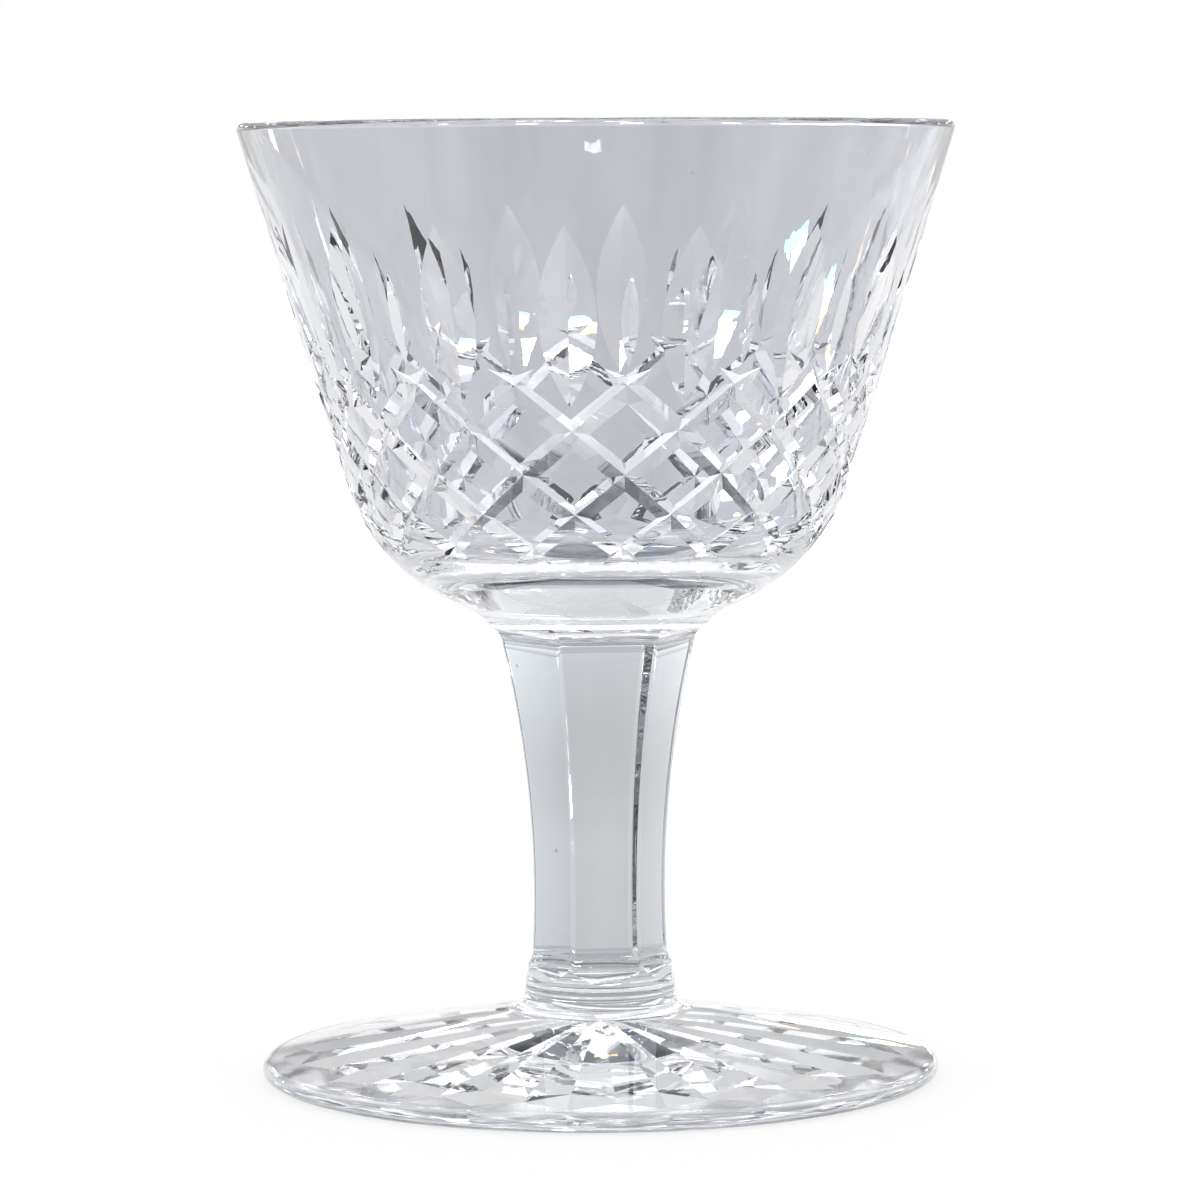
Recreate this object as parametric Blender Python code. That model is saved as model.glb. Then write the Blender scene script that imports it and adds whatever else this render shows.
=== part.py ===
"""Short-stemmed liqueur glass of cut crystal: a bowl, a stem and a foot, fused one on another."""

import math

import bmesh
import bpy
from mathutils import Vector

for old in list(bpy.data.objects):
    bpy.data.objects.remove(old, do_unlink=True)

# Heights of the three pieces in metres, from the table up
FOOT_HEIGHT = 0.0098
STEM_LENGTH = 0.0387
BOWL_HEIGHT = 0.0526
FUSED_GAP = 0.0003  # between the two faces of each fused joint

# Radii of the fused faces, shared by the two pieces that meet there
STEM_TOP_RADIUS = 0.0121
STEM_END_RADIUS = 0.0080

# Bowl: leaning side, curved base and rounded rim
RIM_RADIUS = 0.0382
RIM_WALL = 0.0013
SIDE_LEAN = math.radians(16.9)
BASE_CURVE = 0.0200
BASE_RISE = 0.0002
BASE_FLARE = 0.0014  # how far the base spreads from the stem before it curves up
INSIDE_LEAN = math.radians(19.4)
INSIDE_CURVE = 0.0090
FLOOR_THICKNESS = 0.0066

# Diamonds on the bowl, left between crossing V-shaped grooves
COLUMNS = 16
PATTERN_TURN = math.radians(6)
COLUMNS_CROSSED = 2
LATTICE_LOW = 0.0086
LATTICE_HIGH = 0.0256
GROOVE_DEPTH = 0.0008
GROOVE_ANGLE = math.radians(110)
GROOVE_RUNOUT = 0.0011
SECOND_PASS = 0.00003  # the grooves cut second cross just under the first

# Upright lance cuts between the points of the diamonds, and fine splits above them
LANCE_LOW = 0.0236
LANCE_HIGH = 0.0420
LANCE_DEPTH = 0.0010
LANCE_WIDTH = 0.0060
SPLIT_LOW = 0.0278
SPLIT_HIGH = 0.0372
SPLIT_DEPTH = 0.0006
SPLIT_WIDTH = 0.0018

# Stem: round ends, six facets hollowed lengthwise by a large wheel
FACETS = 6
FACET_TURN = math.radians(-84)
WAIST_ACROSS_FLATS = 0.01235
WAIST_HEIGHT = 0.0095
WHEEL_RADIUS = 0.130
FLARE_HEIGHT = 0.0015
SHOULDER_HEIGHT = STEM_LENGTH - FLARE_HEIGHT
SHOULDER_RADIUS = 0.0109
FACET_MARGIN = 0.0009
FACET_HIGH = SHOULDER_HEIGHT - FACET_MARGIN
FACET_LOW = 0.0030
LOW_RUNOUT = 0.0050
LOW_BREAK = math.radians(15)
HIGH_RUNOUT = 0.0020
COLLAR_RADIUS = 0.0077
COLLAR_HEIGHT = 0.0030

# Foot: low cone on a rounded edge, star cut into the underside
FOOT_RADIUS = 0.0362
EDGE_THICKNESS = 0.0022
REST_RADIUS = 0.0348
FOOT_SLOPE = math.radians(11)
NECK_FILLET = 0.0025
STAR_RAYS = 20
STAR_TURN = math.radians(3)
STAR_TIP = 0.0322
STAR_BELLY = 0.0285
STAR_DEPTH = 0.0015
STAR_RIDGE = 0.00035
STAR_CENTRE = 0.0005

ROUND_STEPS = 64
STEM_STEPS = 48
CLEAR = 0.0008  # how far a wheel stands out of the surface it cuts


def arc(centre, radius, start, end, steps):
    """Points (radius, height) on an arc of a turned profile; angles run up from the horizontal."""
    for i in range(steps + 1):
        angle = start + (end - start) * i / steps
        yield centre[0] + radius * math.cos(angle), centre[1] + radius * math.sin(angle)


def finish(bm, name):
    """Turns a closed bmesh into an object in the scene."""
    bmesh.ops.remove_doubles(bm, verts=bm.verts, dist=1e-6)
    bmesh.ops.recalc_face_normals(bm, faces=bm.faces)
    mesh = bpy.data.meshes.new(name)
    bm.to_mesh(mesh)
    bm.free()
    obj = bpy.data.objects.new(name, mesh)
    bpy.context.scene.collection.objects.link(obj)
    return obj


def turned(name, profile, steps):
    """Solid of revolution from a profile that starts and ends on the axis."""
    bm = bmesh.new()
    half_step = math.pi / steps
    points = [
        bm.verts.new((r * math.cos(half_step), r * math.sin(half_step), z)) for r, z in profile
    ]
    for first, second in zip(points, points[1:]):
        bm.edges.new((first, second))
    bmesh.ops.spin(
        bm,
        geom=bm.verts[:] + bm.edges[:],
        cent=(0, 0, 0),
        axis=(0, 0, 1),
        angle=math.tau,
        steps=steps,
        use_merge=True,
    )
    obj = finish(bm, name)
    obj.data.shade_smooth()
    obj.data.set_sharp_from_angle(angle=math.radians(35))
    return obj


def skin(bm, sections):
    """Closed body through matching rings of points."""
    rings = [[bm.verts.new(point) for point in section] for section in sections]
    for low, high in zip(rings, rings[1:]):
        for i in range(len(low)):
            j = (i + 1) % len(low)
            bm.faces.new((low[i], low[j], high[j], high[i]))
    bm.faces.new(rings[0])
    bm.faces.new(rings[-1])


def ring_of(bm, count):
    """Repeats what is in the bmesh evenly round the axis."""
    bmesh.ops.spin(
        bm,
        geom=bm.verts[:] + bm.edges[:] + bm.faces[:],
        cent=(0, 0, 0),
        axis=(0, 0, 1),
        angle=math.tau * (count - 1) / count,
        steps=count - 1,
        use_duplicate=True,
    )


def cut(piece, cutter):
    """Takes the cutter's shape out of the piece."""
    cutter.parent = piece
    cutter.hide_render = True
    cutter.display_type = "WIRE"
    modifier = piece.modifiers.new(cutter.name, "BOOLEAN")
    modifier.operation = "DIFFERENCE"
    modifier.solver = "EXACT"
    modifier.object = cutter


def crystal(piece, tint):
    """Clear polished glass."""
    material = bpy.data.materials.new(piece.name + "_crystal")
    material.use_nodes = True
    shader = material.node_tree.nodes["Principled BSDF"]
    shader.inputs["Base Color"].default_value = (*tint, 1)
    shader.inputs["Metallic"].default_value = 0.0
    shader.inputs["Roughness"].default_value = 0.02
    shader.inputs["IOR"].default_value = 1.55
    shader.inputs["Transmission Weight"].default_value = 1.0
    piece.data.materials.append(material)


# Outer surface of the bowl
base_z = BASE_RISE + BASE_CURVE
base_r = (
    RIM_RADIUS
    - (BOWL_HEIGHT - base_z) * math.tan(SIDE_LEAN)
    - BASE_CURVE / math.cos(SIDE_LEAN)
)
side_low = base_z - BASE_CURVE * math.sin(SIDE_LEAN)


def outside(z):
    """Radius of the bowl's outer surface at a height, and the tilt of its normal below level."""
    if z >= side_low:
        return RIM_RADIUS - (BOWL_HEIGHT - z) * math.tan(SIDE_LEAN), SIDE_LEAN
    tilt = math.asin((base_z - z) / BASE_CURVE)
    return base_r + BASE_CURVE * math.cos(tilt), tilt


def on_bowl(z, turn):
    """Point on the outer surface of the bowl, turned with the pattern, and its normal."""
    r, tilt = outside(z)
    turn += PATTERN_TURN
    point = Vector((r * math.cos(turn), r * math.sin(turn), z))
    level = math.cos(tilt)
    normal = Vector((level * math.cos(turn), level * math.sin(turn), -math.sin(tilt)))
    return point, normal


def v_wheel(heights, turns, depths, spread):
    """Sections of a V-shaped wheel along a line on the bowl; spread is half its width per depth."""
    places = [on_bowl(z, turn) for z, turn in zip(heights, turns)]
    last = len(places) - 1
    for i, (point, normal) in enumerate(places):
        along = places[min(i + 1, last)][0] - places[max(i - 1, 0)][0]
        side = along.cross(normal).normalized() * spread * (depths[i] + CLEAR)
        top = point + normal * CLEAR
        yield point - normal * depths[i], top + side, top - side


def lattice_cutter(name, way, depth):
    """Grooves that all climb round the bowl the same way, at a steady slope."""
    steps = 8
    heights = [LATTICE_LOW + (LATTICE_HIGH - LATTICE_LOW) * i / steps for i in range(steps + 1)]
    heights = [LATTICE_LOW - GROOVE_RUNOUT, *heights, LATTICE_HIGH + GROOVE_RUNOUT]
    turns = [0.0]
    for low, high in zip(heights, heights[1:]):
        low_r, high_r = outside(low)[0], outside(high)[0]
        turns.append(turns[-1] + math.hypot(high - low, high_r - low_r) / (low_r + high_r))
    scale = way * COLUMNS_CROSSED * math.tau / COLUMNS / (turns[-2] - turns[1])
    turns = [(turn - turns[1]) * scale for turn in turns]
    depths = [-CLEAR / 3, *[depth] * (steps + 1), -CLEAR / 3]
    bm = bmesh.new()
    skin(bm, v_wheel(heights, turns, depths, math.tan(GROOVE_ANGLE / 2)))
    ring_of(bm, COLUMNS)
    return finish(bm, name)


def upright_cutter(name, low, high, depth, width, turn):
    """Upright cuts, deepest half way up and pointed at both ends, one for each column."""
    steps = 8
    ends = 0.06
    places = [-ends + (1 + 2 * ends) * i / steps for i in range(steps + 1)]
    heights = [low + (high - low) * t for t in places]
    depths = [depth * (1 - (2 * t - 1) ** 2) for t in places]
    bm = bmesh.new()
    skin(bm, v_wheel(heights, [turn] * (steps + 1), depths, width / 2 / depth))
    ring_of(bm, COLUMNS)
    return finish(bm, name)


# Bowl
inside_z = FLOOR_THICKNESS + INSIDE_CURVE
inside_r = (
    RIM_RADIUS
    - RIM_WALL
    - (BOWL_HEIGHT - inside_z) * math.tan(INSIDE_LEAN)
    - INSIDE_CURVE / math.cos(INSIDE_LEAN)
)
lip = RIM_WALL / 2
base_start = math.acos((STEM_TOP_RADIUS + BASE_FLARE - base_r) / BASE_CURVE)
bowl = turned(
    "bowl",
    [
        (0, 0),
        (STEM_TOP_RADIUS, 0),
        *arc((base_r, base_z), BASE_CURVE, -base_start, -SIDE_LEAN, 8),
        *arc((RIM_RADIUS - lip, BOWL_HEIGHT - lip), lip, 0, math.pi, 4),
        *arc((inside_r, inside_z), INSIDE_CURVE, -INSIDE_LEAN, -math.pi / 2, 6),
        (0, FLOOR_THICKNESS),
    ],
    ROUND_STEPS,
)
half_column = math.pi / COLUMNS
cut(bowl, lattice_cutter("grooves_climbing_left", 1, GROOVE_DEPTH))
cut(bowl, lattice_cutter("grooves_climbing_right", -1, GROOVE_DEPTH + SECOND_PASS))
cut(
    bowl,
    upright_cutter("lances", LANCE_LOW, LANCE_HIGH, LANCE_DEPTH, LANCE_WIDTH, half_column),
)
cut(bowl, upright_cutter("splits", SPLIT_LOW, SPLIT_HIGH, SPLIT_DEPTH, SPLIT_WIDTH, 0.0))
crystal(bowl, (0.93, 0.94, 0.95))


# Stem
def hollow(z):
    """Distance of a facet's middle line from the axis."""
    rise = WHEEL_RADIUS - math.sqrt(WHEEL_RADIUS**2 - (z - WAIST_HEIGHT) ** 2)
    return WAIST_ACROSS_FLATS / 2 + rise


def facet_cutter(name, turn):
    """Every second facet: the long hollow, with a short run-out at each end."""
    middle = 12
    low_r = hollow(FACET_LOW) + LOW_RUNOUT * math.cos(LOW_BREAK)
    low_z = FACET_LOW + LOW_RUNOUT * math.sin(LOW_BREAK)
    high_r = hollow(FACET_HIGH) + HIGH_RUNOUT
    line = list(arc((low_r, low_z), LOW_RUNOUT, math.radians(250), math.pi + LOW_BREAK, 6))
    for i in range(1, middle):
        z = FACET_LOW + (FACET_HIGH - FACET_LOW) * i / middle
        line.append((hollow(z), z))
    line.extend(arc((high_r, FACET_HIGH), HIGH_RUNOUT, math.pi, math.pi / 2, 4))
    reach = STEM_TOP_RADIUS * 1.5
    line.extend([(reach, line[-1][1]), (reach, line[0][1])])
    half_width = STEM_TOP_RADIUS * 0.66
    across = Vector((-math.sin(turn), math.cos(turn), 0)) * half_width
    out = Vector((math.cos(turn), math.sin(turn), 0))
    middle_line = [out * r + Vector((0, 0, z)) for r, z in line]
    bm = bmesh.new()
    skin(bm, [[p - across for p in middle_line], [p + across for p in middle_line]])
    ring_of(bm, FACETS // 2)
    return finish(bm, name)


stem = turned(
    "stem",
    [
        (0, 0),
        (STEM_END_RADIUS, 0),
        (COLLAR_RADIUS, COLLAR_HEIGHT / 3),
        (COLLAR_RADIUS, COLLAR_HEIGHT),
        (SHOULDER_RADIUS, SHOULDER_HEIGHT),
        (STEM_TOP_RADIUS, STEM_LENGTH),
        (0, STEM_LENGTH),
    ],
    STEM_STEPS,
)
cut(stem, facet_cutter("facets_odd", FACET_TURN))
cut(stem, facet_cutter("facets_even", FACET_TURN + math.tau / FACETS))
crystal(stem, (0.93, 0.94, 0.95))


# Foot
def star_cutter(name):
    """Pleated disc: valleys along the rays, ridges between them, rising to points at the ends."""
    dip = 0.0005
    past = STAR_TIP + (STAR_TIP - STAR_BELLY) * dip / STAR_DEPTH
    bm = bmesh.new()
    centre = bm.verts.new((0, 0, STAR_CENTRE))
    belly, tips, base = [], [], []
    for i in range(2 * STAR_RAYS):
        turn = STAR_TURN + math.pi * i / STAR_RAYS
        x, y = math.cos(turn), math.sin(turn)
        depth = STAR_DEPTH if i % 2 else STAR_RIDGE
        belly.append(bm.verts.new((STAR_BELLY * x, STAR_BELLY * y, depth)))
        tips.append(bm.verts.new((past * x, past * y, -dip)))
        base.append(bm.verts.new((past * x, past * y, -EDGE_THICKNESS)))
    for i in range(2 * STAR_RAYS):
        j = (i + 1) % (2 * STAR_RAYS)
        bm.faces.new((centre, belly[i], belly[j]))
        bm.faces.new((belly[i], tips[i], tips[j]))
        bm.faces.new((belly[i], tips[j], belly[j]))
        bm.faces.new((tips[i], base[i], base[j], tips[j]))
    bm.faces.new(base)
    return finish(bm, name)


edge = EDGE_THICKNESS / 2
edge_depth = FOOT_RADIUS - REST_RADIUS
neck_r = STEM_END_RADIUS + NECK_FILLET
neck_z = (
    EDGE_THICKNESS
    + (REST_RADIUS - neck_r) * math.tan(FOOT_SLOPE)
    + NECK_FILLET / math.cos(FOOT_SLOPE)
)
rounded = [
    (REST_RADIUS + edge_depth * r, edge + edge * z)
    for r, z in arc((0, 0), 1, -math.pi / 2, math.pi / 2, 8)
]
foot = turned(
    "foot",
    [
        (0, 0),
        *rounded,
        *arc((neck_r, neck_z), NECK_FILLET, math.radians(270) - FOOT_SLOPE, math.pi, 6),
        (STEM_END_RADIUS, FOOT_HEIGHT),
        (0, FOOT_HEIGHT),
    ],
    ROUND_STEPS,
)
cut(foot, star_cutter("star"))
crystal(foot, (0.93, 0.94, 0.95))

# The pieces stand one on another on the table
glass = bpy.data.objects.new("liqueur_glass", None)
bpy.context.scene.collection.objects.link(glass)
for piece in (foot, stem, bowl):
    piece.parent = glass
stem.location.z = FOOT_HEIGHT + FUSED_GAP
bowl.location.z = stem.location.z + STEM_LENGTH + FUSED_GAP
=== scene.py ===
# %% [markdown]
# # A cut-crystal liqueur glass
#
# The glass stands on a white ground, and all that the eye gets from it is bent light: there is no
# paint, no grain and no print. So nearly all the work here goes into true surfaces. Every cut has its
# own crisp edges and its own flat or hollow facets, because those decide where light leaves the glass.
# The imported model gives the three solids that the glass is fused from: bowl, stem and foot. Each one
# is replaced by a finer skin of the same size.

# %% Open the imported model
import math

import bpy
import numpy as np
from mathutils import Matrix, Vector
from mathutils.geometry import delaunay_2d_cdt


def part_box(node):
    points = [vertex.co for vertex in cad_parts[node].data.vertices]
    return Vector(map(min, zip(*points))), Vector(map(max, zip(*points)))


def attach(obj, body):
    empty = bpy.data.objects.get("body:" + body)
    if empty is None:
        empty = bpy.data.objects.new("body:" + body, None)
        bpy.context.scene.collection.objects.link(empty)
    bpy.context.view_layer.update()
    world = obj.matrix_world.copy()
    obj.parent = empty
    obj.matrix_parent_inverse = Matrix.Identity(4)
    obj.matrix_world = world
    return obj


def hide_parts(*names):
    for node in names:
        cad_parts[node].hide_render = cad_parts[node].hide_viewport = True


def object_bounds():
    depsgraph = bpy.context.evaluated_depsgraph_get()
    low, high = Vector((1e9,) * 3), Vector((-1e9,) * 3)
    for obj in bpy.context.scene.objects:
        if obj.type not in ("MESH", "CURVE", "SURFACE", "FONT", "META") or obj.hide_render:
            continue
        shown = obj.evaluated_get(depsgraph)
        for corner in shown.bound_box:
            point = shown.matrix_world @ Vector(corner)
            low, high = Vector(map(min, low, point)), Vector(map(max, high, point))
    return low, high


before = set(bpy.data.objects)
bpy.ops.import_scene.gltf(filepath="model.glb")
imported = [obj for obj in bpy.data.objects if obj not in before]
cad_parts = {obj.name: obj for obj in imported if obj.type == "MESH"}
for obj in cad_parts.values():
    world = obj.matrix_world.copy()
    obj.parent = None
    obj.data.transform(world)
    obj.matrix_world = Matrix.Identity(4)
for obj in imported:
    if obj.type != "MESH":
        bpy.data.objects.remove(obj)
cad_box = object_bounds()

scene = bpy.context.scene
JOINT_GAP = 0.00004  # a hair's breadth, so that the two faces of a fused joint never coincide

# The solids stand a little apart at the two fused joints, and the skins meet half way between them.
bowl_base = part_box("bowl")[0].z
stem_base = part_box("stem")[0].z
foot_top = (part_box("foot")[1].z + stem_base - JOINT_GAP) / 2
stem_low = foot_top + JOINT_GAP
stem_high = (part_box("stem")[1].z + bowl_base - JOINT_GAP) / 2
bowl_low = stem_high + JOINT_GAP
for node in sorted(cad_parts):
    low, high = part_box(node)
    width = high.x - low.x
    print(f"{node}: {1000 * low.z:.2f} to {1000 * high.z:.2f} mm high, {1000 * width:.1f} mm wide")

# %% [markdown]
# ## Camera
#
# The picture was taken from just under the height of the rim, with a long lens, so the rim shows as a
# thin line and the top of the foot as a flat ellipse. The distance, height and lens were found by
# matching the widths of rim, stem and foot. A frame 1200 pixels wide makes the lens easy to work out
# from a focal length in pixels.

# %% Camera
FRAME_PIXELS = 1200
FOCAL_PIXELS = 5081
SENSOR = 36
CAMERA_PLACE = Vector((0.0002, -0.5400, 0.0952))
CAMERA_PITCH = math.radians(-4.685)
CAMERA_ROLL = math.radians(-0.30)

camera_data = bpy.data.cameras.new("camera")
camera_data.sensor_width = SENSOR
camera_data.lens = SENSOR * FOCAL_PIXELS / FRAME_PIXELS
camera = bpy.data.objects.new("camera", camera_data)
camera.location = CAMERA_PLACE
aim = Matrix.Rotation(math.pi / 2 + CAMERA_PITCH, 3, "X") @ Matrix.Rotation(CAMERA_ROLL, 3, "Z")
camera.rotation_euler = aim.to_euler()
scene.collection.objects.link(camera)
scene.camera = camera
print(f"camera: {camera_data.lens:.0f} mm lens, {1000 * -CAMERA_PLACE.y:.0f} mm away")

# %% [markdown]
# ## Skins with exact normals
#
# Blender can smooth a mesh by averaging the faces round each corner, but on cut glass that average
# blurs the very edges that make it sparkle. The shapes here all come from formulas, so each corner of
# each triangle can carry the true direction of its own surface instead: a facet stays a clean facet
# up to its edge, and a round wall stays round with few triangles. A Skin gathers such triangles,
# welds the corners that meet and makes the mesh.

# %% Gather triangles, weld them, make a piece
WELD = 2e-7
# What a triangle carries: its share of painted light and shade, how light or dark, and if it lies in a
# fused joint
MARKS = "painted_tint", "tone", "fused"
# The second mark gives a triangle its piece's second tint, which is painted light and shade
PLAIN, PAINTED_TINT_FULL, FUSED = (0, 0, 0), (1, 0, 0), (0, 0, 1)


class Skin:
    """Triangles of one piece, each corner with the direction that its own surface faces there."""

    def __init__(self):
        self.corners, self.normals, self.marks = [], [], []

    def add(self, corners, normals, marks=PLAIN):
        """Takes arrays of (triangle, corner, coordinate), with marks for each triangle or for all."""
        self.corners.append(corners)
        self.normals.append(normals)
        self.marks.append(np.broadcast_to(marks, (len(corners), len(MARKS))))

    def grid(self, points, normals, marks=PLAIN):
        """Takes a grid of points whose rows run round the glass and whose columns run along it."""
        for which in ((0, 0), (0, 1), (1, 1)), ((0, 0), (1, 1), (1, 0)):
            rows, columns = points.shape[0] - 1, points.shape[1] - 1
            pick = [np.s_[i : rows + i, j : columns + j] for i, j in which]
            corners = np.stack([points[p].reshape(-1, 3) for p in pick], 1)
            self.add(corners, np.stack([normals[p].reshape(-1, 3) for p in pick], 1), marks)

    def piece(self, name, node):
        """Makes the object, which stands for the node and rides with the rest of the glass."""
        corners = np.concatenate(self.corners)
        keys = np.round(corners.reshape(-1, 3) / WELD).astype(np.int64)
        _, first, index = np.unique(keys, axis=0, return_index=True, return_inverse=True)
        faces = index.reshape(-1, 3)
        whole = (faces != np.roll(faces, 1, axis=1)).all(axis=1)
        mesh = bpy.data.meshes.new(name)
        mesh.from_pydata(corners.reshape(-1, 3)[first].tolist(), [], faces[whole].tolist())
        for mark, values in zip(MARKS, np.concatenate(self.marks)[whole].T):
            attribute = mesh.attributes.new(mark, "FLOAT", "FACE")
            attribute.data.foreach_set("value", values.astype(np.float32))
        mesh.shade_smooth()
        mesh.normals_split_custom_set(np.concatenate(self.normals)[whole].reshape(-1, 3).tolist())
        obj = bpy.data.objects.new(name, mesh)
        scene.collection.objects.link(obj)
        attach(obj, "root")
        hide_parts(node)
        print(f"{name}: {len(mesh.polygons)} triangles, {len(mesh.vertices)} corners")
        return obj


# %% Turn a profile on the lathe
TURN_STEPS = 240


def arc(centre, radius, start, end, steps):
    """Points (radius, height) along an arc; angles in radians, from level outwards."""
    angles = np.linspace(start, end, steps + 1)
    return np.stack([centre[0] + radius * np.cos(angles), centre[1] + radius * np.sin(angles)], 1)


def line(start, end, steps=2):
    """Points (radius, height) along a straight run."""
    return np.linspace(start, end, steps + 1)


def turned(skin, runs, marks=PLAIN):
    """Turns smooth runs of (radius, height) round the axis; the glass lies to the left of each run."""
    turns = np.arange(TURN_STEPS + 1) * math.tau / TURN_STEPS
    way = np.stack([np.cos(turns), np.sin(turns), np.zeros_like(turns)], 1)
    up = np.array([0, 0, 1])
    for run in runs:
        along = np.gradient(run, axis=0, edge_order=2)
        along /= np.linalg.norm(along, axis=1, keepdims=True)
        points = run[:, 0, None, None] * way + run[:, 1, None, None] * up
        normals = along[:, 1, None, None] * way - along[:, 0, None, None] * up
        skin.grid(points, normals, marks)


print("lathe:", TURN_STEPS, "steps to a turn")

# %% [markdown]
# ## Bowl: the blank
#
# The bowl is blown into a mould: a straight side that leans out, a full curve into a thick base, and
# a rim that was cracked off, ground and melted round. The sizes are those of the solid, measured
# from the underside of the bowl. The side is a formula of height, so that the cuts can be laid on it.

# %% Outer surface of the bowl
BOWL_HEIGHT = cad_box[1].z - bowl_base
RIM_RADIUS = 0.0382
RIM_WALL = 0.0013
SIDE_LEAN = math.radians(16.9)
BASE_CURVE = 0.0200
BASE_RISE = 0.0002

base_z = BASE_RISE + BASE_CURVE
base_r = RIM_RADIUS - (BOWL_HEIGHT - base_z) * math.tan(SIDE_LEAN) - BASE_CURVE / math.cos(SIDE_LEAN)
side_low = base_z - BASE_CURVE * math.sin(SIDE_LEAN)


def outside(z):
    """Radius of the bowl's outer surface at a height, and how far its normal tips below level."""
    tilt = np.arcsin(np.clip((base_z - z) / BASE_CURVE, math.sin(SIDE_LEAN), 1))
    on_side = RIM_RADIUS - (BOWL_HEIGHT - z) * math.tan(SIDE_LEAN)
    return np.where(z > side_low, on_side, base_r + BASE_CURVE * np.cos(tilt)), tilt


print(f"bowl: straight side from {1000 * side_low:.1f} mm up, {1000 * BOWL_HEIGHT:.1f} mm high")

# %% [markdown]
# ## Bowl: the cutter's layout
#
# A cutter marks the bowl into even columns before the first groove is cut. Here the marking-out is a
# flat map: one unit across is one column, and the rows are spaced so that a groove climbing at a
# steady slope is a straight diagonal line on the map. Two sets of V-shaped grooves cross and leave
# three staggered rows of diamonds. A lance stands in each gap between the upper points, and a fine
# upright split above each point. This is an old, common arrangement on table crystal.

# %% Map of columns and rows
COLUMNS = 16
PATTERN_TURN = math.radians(6)
COLUMNS_CROSSED = 2
LATTICE_LOW = 0.0086
LATTICE_HIGH = 0.0256
BAND_LOW = 0.0050
BAND_HIGH = 0.0505
MAP_MARGIN = 0.001
MAP_STEPS = 8000

column_turn = math.tau / COLUMNS
heights = np.linspace(BAND_LOW - MAP_MARGIN, BAND_HIGH + MAP_MARGIN, MAP_STEPS + 1)
radii = outside(heights)[0]
climb = np.hypot(np.diff(heights), np.diff(radii)) / (radii[:-1] + radii[1:]) * 2
climb = np.concatenate([[0], np.cumsum(climb)])
lattice_climb = np.diff(np.interp([LATTICE_LOW, LATTICE_HIGH], heights, climb))[0]
rows = (climb - np.interp(LATTICE_LOW, heights, climb)) * COLUMNS_CROSSED / lattice_climb
middle_radius = outside(np.array((LATTICE_LOW + LATTICE_HIGH) / 2))[0]
column_width = column_turn * middle_radius
row_height = lattice_climb / COLUMNS_CROSSED * middle_radius
line_spacing = column_width * row_height / math.hypot(column_width, row_height)


def row_at(z):
    """Row of the map at a height on the bowl."""
    return float(np.interp(z, heights, rows))


band_rows = row_at(BAND_LOW), row_at(BAND_HIGH)
print(f"map: columns {1000 * column_width:.2f} mm wide, rows {1000 * row_height:.2f} mm high")
print(f"grooves {1000 * line_spacing:.2f} mm apart, rows {band_rows[0]:.2f} to {band_rows[1]:.2f}")

# %% Depth of the cuts
GROOVE_DEPTH = 0.0008
GROOVE_ANGLE = math.radians(110)
GROOVE_TAIL = 0.0029  # how far a groove runs on past its last crossing
LANCE_LOW = 0.0236
LANCE_HIGH = 0.0420
LANCE_DEPTH = 0.0010
LANCE_WIDTH = 0.0060
SPLIT_LOW = 0.0278
SPLIT_HIGH = 0.0372
SPLIT_DEPTH = 0.0006
SPLIT_WIDTH = 0.0018

groove_half = GROOVE_DEPTH * math.tan(GROOVE_ANGLE / 2) / line_spacing
groove_reach = GROOVE_TAIL / (math.hypot(column_width, row_height) / 2)


def upright(middle, low, high, depth, width):
    """An upright cut, deepest half way up: its place on the map, its depth and half its width there."""
    radius = outside(np.array((low + high) / 2))[0]
    return middle, row_at(low), row_at(high), depth, width / 2 / (column_turn * float(radius))


uprights = [
    upright(0.5, LANCE_LOW, LANCE_HIGH, LANCE_DEPTH, LANCE_WIDTH),
    upright(0.0, SPLIT_LOW, SPLIT_HIGH, SPLIT_DEPTH, SPLIT_WIDTH),
]


def cuts(column, row):
    """Depth of each cut at a place on the map, and what tells its facets apart: line, step and side."""
    radius = outside(np.interp(row, rows, heights))[0]
    rising, falling = row - column, row + column
    for across, along in (rising, falling), (falling, rising):
        centre = np.round(across)
        climbed = (along + centre) / 2
        past_end = 2 * np.maximum(climbed - COLUMNS_CROSSED, -climbed).clip(0)
        groove = 1 - np.abs(across - centre) / groove_half - past_end / groove_reach
        depth = GROOVE_DEPTH * groove * radius / middle_radius
        yield depth, centre, np.floor(2 * climbed), across > centre
    for middle, low, high, deepest, half in uprights:
        t = (row - low) / (high - low)
        centre = np.round(column - middle)
        off = column - middle - centre
        yield deepest * (4 * t * (1 - t) - np.abs(off) / half), centre, 0 * row, off > 0


def cut_depth(column, row):
    """How deep the wheels have cut at a place on the map, and 0 where the blank is untouched."""
    depth = np.zeros_like(column)
    for cut, *_ in cuts(column, row):
        depth = np.maximum(depth, cut)
    return depth


def on_bowl(column, row):
    """Points of the cut outer surface."""
    z = np.interp(row, rows, heights)
    radius, tilt = outside(z)
    depth = cut_depth(column, row)
    radius = radius - depth * np.cos(tilt)
    turn = column * column_turn + PATTERN_TURN
    height = bowl_base + z + depth * np.sin(tilt)
    return np.stack([radius * np.cos(turn), radius * np.sin(turn), height], -1)


groove_width = 2 * groove_half * line_spacing
print(f"grooves: {1000 * groove_width:.2f} mm wide, tails {groove_reach:.2f} of a column")

# %% [markdown]
# ## Bowl: creases first, then triangles
#
# A displaced grid would leave saw-tooth edges where a groove crosses it. A cutter's edges are clean
# lines, so here the creases are drawn on the map first: the bottom of each groove, its two edges, the
# mitres where grooves cross, the pointed tails, and the outlines of the upright cuts. A constrained
# triangulation then fills one column so that no triangle ever straddles a crease.

# %% Draw a crease
CREASE_STEP = 1 / 12
SAME_PLACE = 1e-9
SHORTEST_SHARE = 1e-6

crease_points, crease_edges = {}, set()


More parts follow.
